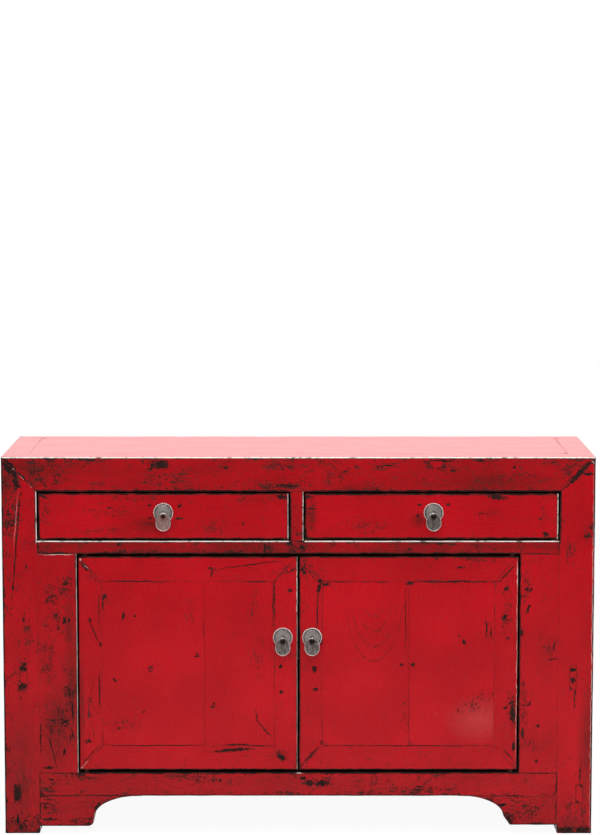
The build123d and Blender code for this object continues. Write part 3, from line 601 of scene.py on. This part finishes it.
# ---- Rails and divider ----
# The rail and the divider round the drawers, the bottom rails and the back rails: lacquered softwood,
# tenoned to the posts and to each other.
drawer_rails = lacquer(
    "drawer_rail", glaze=0.95, flecks=1.0, wear=0.6,
    marks=[(-580, 652, 15, 1.6, 92), (-536, 638, 42, 1.3), (580, 652, 15, 0.8, 90), (536, 638, 40, 0.8),
           (-22, 661, 10, 4.5), (8, 653, 6.5, 6), (-74, 650, 3, 12), (-540, 640, 34, 2), (8, 666, 12, 3)],
    knots=[(-70, 650, 26, 12), (5, 655, 30, 14), (-560, 642, 40, 6), (-380, 642, 70, 5), (300, 660, 60, 6),
           (-160, 640, 60, 4)],
    shades=[(-560, 650, 60, 14), (200, 645, 160, 10), (-200, 645, 120, 9)])
divider_lacquer = lacquer("divider", glaze=0.5, flecks=0.8, wear=0.6)
bottom_rails = lacquer(
    "bottom_rails", glaze=0.48, flecks=0.9,
    marks=[(538, 138.8, 44, 1.5), (-538, 139, 42, 1.6), (580.5, 112, 28, 1.6, 90),
           (-580.5, 112, 28, 0.9, 90), (-400, 88, 180, 1.3), (240, 88, 200, 1), (-492, 136, 13, 5),
           (-176, 122, 3, 5), (10, 127, 7, 4, -20), (26, 116, 12, 6, -10), (54, 116, 17, 7, 4),
           (-631.5, 92, 25, 12, 90)],
    highlights_and_rubs=[(1.5, 139, 7, 1.1)],
    knots=[(-560, 115, 30, 24), (-492, 130, 30, 10), (40, 118, 40, 14), (-240, 128, 60, 12),
           (150, 94, 60, 5), (280, 100, 80, 10), (-20, 94, 50, 5)])
rails = lacquer("back_rails", glaze=0.4, flecks=0.8)
age("drawer_rail", "x", drawer_rails, 10, arris=2.8)
age("drawer_divider", "z", divider_lacquer, 11, arris=2.2)
# its top arris, under the doors, is painted dark, a painted shade, rather than pale
age("bottom_rail_front", "x", bottom_rails, 12, arris=1.8, top_lit=False)
age("bottom_rail_left", "y", bottom_rails, 13, side_lit=False)
age("bottom_rail_right", "y", rails, 14, side_lit=False)
age("bottom_rail_back", "x", rails, 15)
age("back_rail", "x", rails, 16)

# ---- Battens ----
# Two under the top panel and one on each side, of the same lacquered softwood. Their tenons come
# through to the front of the rail and the posts, where the lacquer has worn off the end grain.
battens = lacquer(
    "batten_ends", glaze=0.3, flecks=1.0, wear=0.4, seams=0.9,
    marks=[(-306, 838, 26, 14), (615, 376, 9, 5), (615, 352, 7, 7), (-615, 378, 9, 7), (-616, 338, 9, 9)])
age("top_battens", "y", battens, 17, top_lit=False, side_lit=False)
age("side_batten_left", "y", battens, 18, top_lit=False, side_lit=False)
age("side_batten_right", "y", battens, 19, top_lit=False, side_lit=False)

# ---- Filler boards and aprons ----
# A board on each side fills the space between post and door, and a shaped bracket braces the bottom
# rail at each post. All are lacquered softwood, and full of knots and scratches.
left_filler = lacquer(
    "left_filler", glaze=0.33, flecks=0.9, seams=0.35, highlit_and_rubbed=0.85,
    highlights_and_rubs=[(-532, 636, 44, 0.6)],
    marks=[(-552, 540, 9, 2.4, 20), (-546, 528, 6, 2.4, -60), (-561, 532, 5, 2.4, 70),
           (-518, 571, 10, 4, 10), (-522, 488, 9, 4, 80), (-511, 488, 5, 3, 90), (-552, 192, 42, 1.6, -78),
           (-578, 221, 35, 1.6, 90), (-525, 190, 9, 3, 80), (-549, 260, 6, 3), (-524, 256, 8, 3, 20),
           (-562, 152, 11, 4), (-506, 282, 22, 3, 88), (-585, 455, 7, 4, 80), (-540, 500, 4, 3.4),
           (-534, 470, 4, 3)],
    knots=[(-530, 556, 50, 30, 60), (-540, 490, 50, 26, 80), (-540, 260, 60, 40, 60),
           (-515, 290, 90, 20, 88), (-560, 400, 60, 20, 90)],
    shades=[(-507, 330, 160, 30, 89), (-538, 250, 130, 44, 85), (-512, 470, 80, 16, 90)])
right_filler = lacquer(
    "right_filler", glaze=0.34, flecks=0.7, seams=0.35,
    marks=[(509, 558, 5, 4, 60), (519, 558, 5, 3, 60), (514, 515, 11, 3, 70), (499, 459, 7, 5, 80),
           (518, 298, 6, 3, 50), (508, 294, 11, 1.6), (534, 166, 5, 3, 85), (568, 399, 12, 1.8, 10),
           (572, 430, 14, 2, 85), (537, 247, 4, 3), (503, 230, 12, 4, 90)],
    knots=[(508, 560, 50, 18, 85), (560, 420, 16, 16), (505, 300, 60, 10, 90), (520, 620, 40, 8),
           (530, 200, 30, 16)])
left_apron = lacquer(
    "left_apron", glaze=0.52, flecks=1.0, wear=0.9,
    marks=[(-452, 62, 12, 5, 50), (-560, 32, 20, 2, 2), (-580.5, 55, 30, 0.9, 90)],
    knots=[(-558, 60, 30, 30), (-480, 30, 50, 12)])
right_apron = lacquer(
    "right_apron", glaze=0.5, flecks=0.8, wear=0.9, seams=0.5,
    marks=[(580.5, 55, 30, 1.6, 90), (458, 66, 12, 4), (476, 32, 10, 4, -50), (540, 22, 20, 2.4)],
    knots=[(500, 60, 70, 40, -20), (470, 40, 30, 30)])
age("filler_board_left", "z", left_filler, 20, arris=1.7)
age("filler_board_right", "z", right_filler, 21)
age("apron_bracket_left", "x", left_apron, 22)
age("apron_bracket_right", "x", right_apron, 23, side_lit=False)

# ---- Sides and back ----
# A tall lacquered panel in the frame on each side, flush with it, and two thin boards behind, which
# are left bare and dark with age.
sides = lacquer("side_panels", glaze=0.3, flecks=0.7, wear=0.6)
age("side_panel_left", "z", sides, 24)
age("side_panel_right", "z", sides, 25)
age("back_panels", "z", sides, 26)

# ---- Doors ----
# Mitred frames round flush panels of two boards, lacquered as one, so that the joints show as cracks.
# They turn on wooden pins that are part of the outer stiles.
left_frame = lacquer(
    "left_door_frame", glaze=0.13, seams=0.9, flecks=0.6, highlit_and_rubbed=0.6,
    marks=[(-476, 609, 15, 4, -45), (-363, 576, 78, 1.3), (-445.5, 330, 46, 1.7, 90.5),
           (-445.5, 505, 44, 1.2, 90), (-466, 182, 30, 1.3, 47), (-320, 202.5, 120, 0.8),
           (-53.6, 524, 54, 2.2, 90), (-85, 202, 36, 1.6), (-486, 634, 15, 5), (-486, 143, 15, 4.5),
           (-465, 489, 4, 4), (-455, 459, 32, 1.5, -67), (-442, 433, 6, 3, -70), (-196, 605, 5, 3, 40),
           (-194, 594, 10, 2, 80), (-110, 613, 78, 1.4, 7.5), (-19, 555, 5, 5), (-14, 600, 9, 2, 30),
           (-39, 383, 5, 5), (-38, 325, 4.4, 4.4), (-58, 214, 12, 1.8, -83), (-38, 176, 12, 6, -30),
           (-471, 213, 8, 4, 20), (-150, 192, 46, 4, 5)],
    knots=[(-470, 600, 40, 18, -45), (-30, 600, 40, 14, 20), (-465, 300, 60, 10, 90), (-36, 180, 30, 20),
           (-190, 600, 30, 10)],
    # the rubs at the top corner and along the meeting edge are a painted highlight; the others are pale lines
    # in the mitres
    highlights_and_rubs=[(-485, 625, 3, 2, -40), (-472, 609, 8, 0.4, -38), (-479, 160, 14, 0.35, 47), (-487, 151, 3, 1.2),
          (-2.8, 566, 66, 1, 90)],
    shades=[(-484, 290, 130, 6, 90)])
left_panel = lacquer(
    "left_door_panel", glaze=0.09, flecks=0.45, wear=0.6, seams=0.2,
    marks=[(-95, 575, 38, 1.1), (-56.2, 524, 54, 1.5, 90), (-212, 466, 21, 0.7, 88), (-363, 575, 78, 0.8),
           (-320, 203.5, 120, 0.7), (-434, 540, 10, 4, 45), (-437, 525, 14, 2.4, 90),
           (-391, 498, 9, 3.4, 85), (-365, 497, 3, 3), (-226, 407, 7, 2), (-226, 412, 3, 3),
           (-331, 381, 6, 3, 20), (-330, 373, 5, 2, 30), (-410, 353, 7, 2.6, -50), (-192, 290, 5, 4.4),
           (-189, 298, 3, 3), (-346, 280, 5, 2, 20), (-402, 242, 5, 2.6), (-93, 268, 16, 1.8, -80),
           (-76, 240, 27, 1.9, -48), (-190, 194, 11, 4, 20), (-140, 203, 34, 4, 2), (-166, 586, 14, 2)],
    knots=[(-430, 530, 30, 20, 90), (-240, 500, 40, 14, 90), (-320, 580, 80, 10), (-100, 520, 50, 14, 80),
           (-90, 400, 50, 20, 90), (-390, 250, 50, 20)])
right_frame = lacquer(
    "right_door_frame", glaze=0.24, seams=0.65, flecks=0.7, highlit_and_rubbed=0.6,
    marks=[(486, 634, 15, 5), (486, 143, 15, 4.5), (361, 608, 8, 3), (308, 627, 3, 3),
           (46, 560, 15, 4.5, 82), (50, 577, 11, 4, -12), (23, 598, 30, 1.1, -50), (462, 558, 9, 3.4, 50),
           (461, 494, 9, 6.5, 70), (469, 447, 4, 3), (464, 289, 5, 4), (481, 276, 29, 7, 90),
           (478, 302, 8, 3, 30), (36, 378, 6.5, 7.5), (38, 331, 5, 5), (54, 440, 10, 4, 85),
           (57, 208, 9, 5, -30), (483, 200, 12, 4, 85), (12, 600, 12, 4, -60), (42.5, 500, 76, 1.8, 88.6),
           (26, 178, 34, 2.2, 48), (346, 576, 98, 1.7), (465, 594, 31, 1.8, 48), (473, 179, 18, 1.7, -48),
           (240, 202.3, 190, 1.4)],
    # both rubs are a painted highlight along the door's right arris
    highlights_and_rubs=[(488.4, 389, 238, 0.45, 90), (488.2, 590, 32, 0.9, 90)],
    knots=[(30, 600, 50, 20, -30), (465, 510, 70, 12, 90), (475, 290, 50, 12, 90), (400, 625, 60, 6)])
right_panel = lacquer(
    "right_door_panel", glaze=0.1, flecks=0.45, wear=0.6, seams=0.4,
    marks=[(239.5, 490, 84, 1.2, 90), (100, 574.8, 44, 1.2), (346, 574.5, 98, 1.2), (60, 569, 13, 5),
           (250, 571, 10, 5), (231, 387, 4, 4), (257, 387, 4.4, 4.4), (370, 438, 7, 4, -60),
           (359, 452, 3, 3), (445, 395, 7, 2.4, -60), (390, 296, 4, 2, 60), (420, 470, 20, 2, 90),
           (430, 460, 14, 2, 90), (170, 575, 40, 2)],
    arcs=[(169, 560, 66, 165)],
    scuffs=[(405, 262, 60, 42), (308, 276, 3, 3)],
    knots=[(330, 575, 90, 10), (425, 465, 40, 14, 90), (400, 300, 60, 30, 20), (240, 280, 60, 12, 90)])
# door arrises are painted pale where they face the lamps, a painted highlight, and dark along their tops, a
# painted shade in the gap under the rail
for side, frame_finish, panel_finish, seed in (("left", left_frame, left_panel, 31),
                                               ("right", right_frame, right_panel, 36)):
    for part, way in (("hinge_stile", "z"), ("meeting_stile", "z"), ("top_rail", "x"), ("bottom_rail", "x"),
                      ("panel", "z")):
        finish = panel_finish if part == "panel" else frame_finish
        age(f"door_{side}_{part}", way, finish, seed, f"door_{side}", bareness=0.8, top_lit=False)
        seed += 1

# ---- Drawers ----
# Lacquered softwood fronts, a finger thick, on plain boxes that slide on runners between guides.
# Their edges have rubbed against the rails, and the drops have dented them. Their arrises are painted
# pale where they face the lamps, a painted highlight, and dark along their tops, a painted shade in the
# gap under the rail.
left_drawer = lacquer(
    "left_drawer", glaze=0.16, flecks=0.6, wear=0.8,
    marks=[(-570, 768, 16, 5, -30), (-419, 741, 5, 3), (-330, 747, 4, 3.2), (-265, 746, 4.2, 4),
           (-330, 718, 3.4, 3), (-265, 717, 8, 3), (-123, 706, 3, 3), (-35, 765, 14, 6, -10)],
    knots=[(-562, 725, 40, 14, 90), (-420, 730, 60, 14), (-440, 690, 80, 10), (-100, 760, 70, 8),
           (-380, 762, 90, 8), (-190, 700, 60, 20)],
    # the shade below and left of the pull is a painted shadow of its drop
    shades=[(-330, 704, 50, 20)])
right_drawer = lacquer(
    "right_drawer", glaze=0.18, flecks=0.55, wear=0.8,
    marks=[(442, 765, 20, 6), (551, 681, 8, 5), (540, 716, 6, 2), (269, 748, 4, 3.6), (333, 748, 4.4, 3.6),
           (268, 724, 5, 4), (24, 766, 10, 5)],
    knots=[(30, 720, 50, 16, 90), (160, 700, 70, 20), (545, 730, 36, 12, 90), (420, 730, 40, 12),
           (560, 765, 20, 8)],
    # the first shade, left of the pull, is a painted shadow of its drop
    shades=[(268, 712, 22, 20), (30, 720, 50, 12, 90)])
age("drawer_left_front", "x", left_drawer, 41, "drawer_left", arris=2.2, bareness=0.8, top_lit=False)
age("drawer_right_front", "x", right_drawer, 42, "drawer_right", arris=3.0, bareness=0.8, top_lit=False)

# ---- Inside ----
# Drawer boxes, runners, guides, shelf and floor: planed softwood, never finished, brown with age.
# The grain of each board runs along it.
softwood_early = "#8a6440"
softwood_late = "#5d3d24"
softwood_ring = 9.0  # mm from one growth ring to the next
softwood_stretch = 14.0


def softwood(way):
    """Bare planed softwood, its rings running along this axis."""
    made = bpy.data.materials.new("bare_softwood_along_" + way)
    tree = empty_tree(made)
    place = add(tree, "TexCoord").outputs["Object"]
    squeeze = [1.0 / softwood_stretch if axis == way else 1.0 for axis in "xyz"]
    along = add(tree, "VectorMath MULTIPLY", place, squeeze)
    ring = add(tree, "TexNoise", along, 1000 / softwood_ring / 6, 1.0)
    ring = add(tree, "Math MULTIPLY", ring, 40.0)
    ring = add(tree, "Math SINE", ring)
    ring = add(tree, "MapRange", ring, 0.2, 1.0)
    fibre = add(tree, "TexNoise", along, 900.0, 3.0)
    stain = add(tree, "TexNoise", place, 9.0, 4.0)
    stain = add(tree, "MapRange", stain, 0.4, 0.75, 0.0, 0.6)
    both = add(tree, "Math MULTIPLY", ring, fibre)
    colour = add(tree, "Mix", both, linear(softwood_early), linear(softwood_late), data_type="RGBA")
    colour = add(tree, "Mix", stain, colour, linear(bare_wood), data_type="RGBA")
    relief = add(tree, "Bump", {"Height": fibre, "Strength": 0.4, "Distance": 0.0002})
    skin = add(tree, "BsdfPrincipled", {"Base Color": colour, "Roughness": 0.75, "Normal": relief})
    add(tree, "OutputMaterial", skin)
    return made


for way, group in (("x", ("shelf", "floor_board", "drawer_left_back", "drawer_right_back",
                          "drawer_left_bottom", "drawer_right_bottom")),
                   ("y", ("drawer_runners", "drawer_guides", "drawer_left_sides", "drawer_right_sides"))):
    finish = softwood(way)
    for node in group:
        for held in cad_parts[node].material_slots:
            held.material = finish

# ---- Pulls ----
# A scalloped disc, an egg-shaped drop and a split pin bent open behind the wood, all cut from white
# brass: a pale copper alloy, scraped bright on rims and edges, grey-brown where hands don't reach. The
# plate's middle and the pin's eye are painted bright, a painted highlight, and the drop round its hole
# and the lower part of the pin's eye painted dark, a painted shade.
brass_bright = "#ddd5d1"
brass_dull = "#453733"
# nearly black: dirt in the grooves, and the painted shade in the drop's hole and on the pin
brass_dirt_and_shade = "#0d0807"
brass_rosy = "#8f5f59"  # one drop has kept more of its colour
plate_lobes = 26
lobe_circle = 20.9
lobe_radius = 1.5
lobe_height = 0.5  # of the lobes' middles above the wood
# the plate's middle, under the pin's eye, is painted bright, a painted highlight, with a dark ring round it
plate_profile = (
    # radius, height above the wood, how bright
    (0.0, 2.9, 1.3), (2.0, 2.8, 1.2), (2.9, 2.6, 0.6), (3.4, 2.5, -0.4), (4.4, 2.4, 0.4), (6.0, 2.3, 0.54),
    (10.0, 1.9, 0.5), (14.0, 1.4, 0.42), (17.2, 1.1, 0.28), (18.3, 0.6, 0.0), (19.3, 0.6, 0.0),
    (20.2, 1.1, 0.8), (21.2, 1.0, 0.95), (21.6, 0.4, 0.5), (21.6, 0.0, 0.0), (0.0, 0.0, 0.0))
plate_segments = 78
lobe_segments, lobe_levels = 12, 6
drop_half_width = 16.7
drop_up = 22.9  # from its widest level up to its top, and down to its bottom
drop_down = 18.0
drop_widest = -22.0  # below the plate's middle
drop_rim = (
    # inset from its outline, height above its back, how bright
    (2.6, 1.8, 0.16), (1.7, 1.6, 0.05), (1.2, 2.3, 0.85), (0.5, 2.3, 0.85), (0.0, 1.9, 0.35), (0.0, 0.3, 0.2),
    (0.4, 0.0, 0.1))
# the drop's first three rings, round its hole, are painted dark: a painted shadow of the pin's eye
drop_rings = [
    # level of its middle, half width, up, down, height above the drop's back, how bright
    (-5.0, 2.25, 2.25, 2.25, 1.7, -1.2), (-5.4, 2.7, 2.6, 3.1, 2.1, -1.1), (-5.6, 3.3, 3.3, 4.0, 1.8, -0.7),
    (-9.0, 7.2, 7.9, 7.6, 1.8, 0.14)]
drop_rings += [(drop_widest, drop_half_width - inset, drop_up - inset, drop_down - inset, height, bright)
               for inset, height, bright in drop_rim]
drop_rings.append((-5.0, 2.25, 2.25, 2.25, 0.0, 0.0))
drop_segments = 72
drop_stand = 8.3  # from the wood to the drop's back
pin_highlight = (-1.4, 1.7)  # levels from the plate's middle between which the pin is painted bright: a painted highlight on its eye
pin_shade_below = -2.2  # the level below which it is painted dark: painted shade where it passes through the drop's hole
pin_bright, pin_dull, pin_shaded = 1.3, 0.1, -0.8


def white_brass(name, dull=brass_dull):
    """Brushed, tarnished white brass; how bright it is comes with the mesh, painted highlights and painted
    shade among the wear.
    """
    made = bpy.data.materials.new("white_brass_" + name)
    tree = empty_tree(made)
    place = add(tree, "TexCoord").outputs["Object"]
    wear_and_painted_light = add(tree, "Attribute", attribute_name="bright").outputs["Fac"]
    brushing = add(tree, "Attribute", attribute_name="brushing").outputs["Vector"]
    stain = add(tree, "TexNoise", place, 190.0, 4.0)
    # brush marks are finer than this on the metal
    lines = add(tree, "TexNoise", brushing, 260.0, 3.0)
    level = add(tree, "MapRange", stain, 0.3, 0.7, -0.12, 0.12)
    level = add(tree, "Math ADD", level, wear_and_painted_light)
    brushed = add(tree, "MapRange", lines, 0.3, 0.7, -0.1, 0.1)
    level = add(tree, "Math ADD", level, brushed)
    colour = add(tree, "Mix", level, linear(dull), linear(brass_bright), data_type="RGBA")
    # what is darker than dull brass goes nearly black: dirt in the grooves, and the painted shade round the
    # drop's hole and on the pin
    dirt_and_shade = add(tree, "MapRange", level, -0.1, -0.7)
    colour = add(tree, "Mix", dirt_and_shade, colour, linear(brass_dirt_and_shade), data_type="RGBA")
    rough = add(tree, "MapRange", level, 0.0, 1.0, 0.46, 0.3)
    relief = add(tree, "Bump", {"Height": lines, "Strength": 0.4, "Distance": 0.0001})
    skin = add(tree, "BsdfPrincipled", {
        "Base Color": colour, "Roughness": rough, "Normal": relief, "Metallic": 0.9})
    add(tree, "OutputMaterial", skin)
    return made


def ringed_piece(name, rings, closed):
    """A mesh through rings of (place, how bright, brushing), capped at its ends unless it is closed."""
    form = bmesh.new()
    loops = [[form.verts.new(point[0]) for point in ring] for ring in rings]
    for a, b in zip(loops, loops[1:] + loops[:1] if closed else loops[1:]):
        for k in range(max(len(a), len(b))):
            corners = [a[k % len(a)], a[(k + 1) % len(a)], b[(k + 1) % len(b)], b[k % len(b)]]
            form.faces.new(list(dict.fromkeys(corners)))
    bmesh.ops.recalc_face_normals(form, faces=form.faces)
    shade_smooth(form, 40)
    mesh = bpy.data.meshes.new(name)
    form.to_mesh(mesh)
    form.free()
    flat = [point for ring in rings for point in ring]
    mesh.attributes.new("bright", "FLOAT", "POINT").data.foreach_set("value", [point[1] for point in flat])
    mesh.attributes.new("brushing", "FLOAT_VECTOR", "POINT").data.foreach_set(
        "vector", [c for point in flat for c in point[2]])
    return add_object(name, mesh)


def scalloped_tree():
    """Geometry Nodes that set a circle of lobes round a disc."""
    tree, identifiers, given = modifier_tree("scalloped_disc", {
        "Disc": "Geometry", "Lobes": "Int", "Circle": "Float", "Lobe Radius": "Float", "Middle": "Vector",
        "Finish": "Material"})
    circle = add(tree, "GeometryNodeMeshCircle", given["Lobes"], given["Circle"])
    lobe = add(tree, "GeometryNodeMeshUVSphere", lobe_segments, lobe_levels, given["Lobe Radius"])
    lobes = add(tree, "GeometryNodeInstanceOnPoints", {
        "Points": circle, "Instance": lobe, "Scale": (1.0, 1.0, 0.5)})
    lobes = add(tree, "GeometryNodeTransform", {
        "Geometry": lobes, "Translation": given["Middle"], "Rotation": (math.pi / 2, 0.0, 0.0)})
    lobes = add(tree, "GeometryNodeRealizeInstances", lobes)
    lobes = add(tree, "GeometryNodeStoreNamedAttribute", {
        "Geometry": lobes, "Name": "bright", "Value": 1.0}, data_type="FLOAT", domain="POINT")
    lobes = add(tree, "GeometryNodeSetShadeSmooth", lobes)
    both = add(tree, "GeometryNodeJoinGeometry")
    tree.links.new(given["Disc"], both.inputs[0])
    tree.links.new(lobes.outputs[0], both.inputs[0])
    both = add(tree, "GeometryNodeRealizeInstances", both)
    both = add(tree, "GeometryNodeSetMaterial", {"Geometry": both, "Material": given["Finish"]})
    add(tree, "NodeGroupOutput", both)
    return tree, identifiers


scalloped_disc = scalloped_tree()
plate_brass = white_brass("plates")
pin_brass = white_brass("pins")
drop_brass = white_brass("drops")
rosy_brass = white_brass("rosy_drop", dull=brass_rosy)
for name, x, z, face, drop_finish in (("door_left", -34.7, 449.0, 188.25, drop_brass),
                                      ("door_right", 30.8, 449.0, 188.25, drop_brass),
                                      ("drawer_left", -300.25, 730.0, 185.75, rosy_brass),
                                      ("drawer_right", 300.75, 730.0, 185.75, drop_brass)):
    rings = []  # brushed from the middle out
    for radius, height, bright in plate_profile:
        count = plate_segments if radius else 1
        turns = [math.tau * k / count for k in range(count)]
        rings.append([(
            Vector((x + radius * math.sin(t), -face - height, z + radius * math.cos(t))) / 1000, bright,
            (0.02 * math.sin(t), radius / 20000, 0.02 * math.cos(t))) for t in turns])
    plate = ringed_piece(name + "_scalloped_plate", rings, closed=False)
    run_tree(plate, scalloped_disc, {
        "Lobes": plate_lobes, "Circle": lobe_circle / 1000, "Lobe Radius": lobe_radius / 1000,
        "Middle": Vector((x, -face - lobe_height, z)) / 1000, "Finish": plate_brass})
    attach(plate, name)
    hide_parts(name + "_pull_plate")

    # the drop is brushed up and down
    turns = [math.tau * k / drop_segments for k in range(drop_segments)]
    rings = [[(
        Vector((x + half_width * math.sin(t), -face - drop_stand - height,
                z + middle + (up if math.cos(t) > 0 else down) * math.cos(t))) / 1000, bright,
        (half_width * math.sin(t) / 1000, x / 1000, half_width * math.cos(t) / 2000)) for t in turns]
        for middle, half_width, up, down, height, bright in drop_rings]
    drop = ringed_piece(name + "_egg_drop", rings, closed=True)
    drop.data.materials.append(drop_finish)
    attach(drop, name + "_drop")
    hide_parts(name + "_pull_drop")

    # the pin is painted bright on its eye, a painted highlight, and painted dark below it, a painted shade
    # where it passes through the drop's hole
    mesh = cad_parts[name + "_pull_pin"].data.copy()
    form = bmesh.new()
    form.from_mesh(mesh)
    bmesh.ops.remove_doubles(form, verts=form.verts, dist=same_point)
    form.normal_update()
    shade_smooth(form, 40)
    form.to_mesh(mesh)
    form.free()
    mesh.attributes.new("bright", "FLOAT", "POINT").data.foreach_set(
        "value", [pin_bright if pin_highlight[0] < level < pin_highlight[1] else
                  pin_shaded if level < pin_shade_below else pin_dull
                  for level in (vertex.co.z * 1000 - z for vertex in mesh.vertices)])
    pin = add_object(name + "_split_pin", mesh)
    mesh.materials.clear()
    mesh.materials.append(pin_brass)
    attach(pin, name)
    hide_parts(name + "_pull_pin")
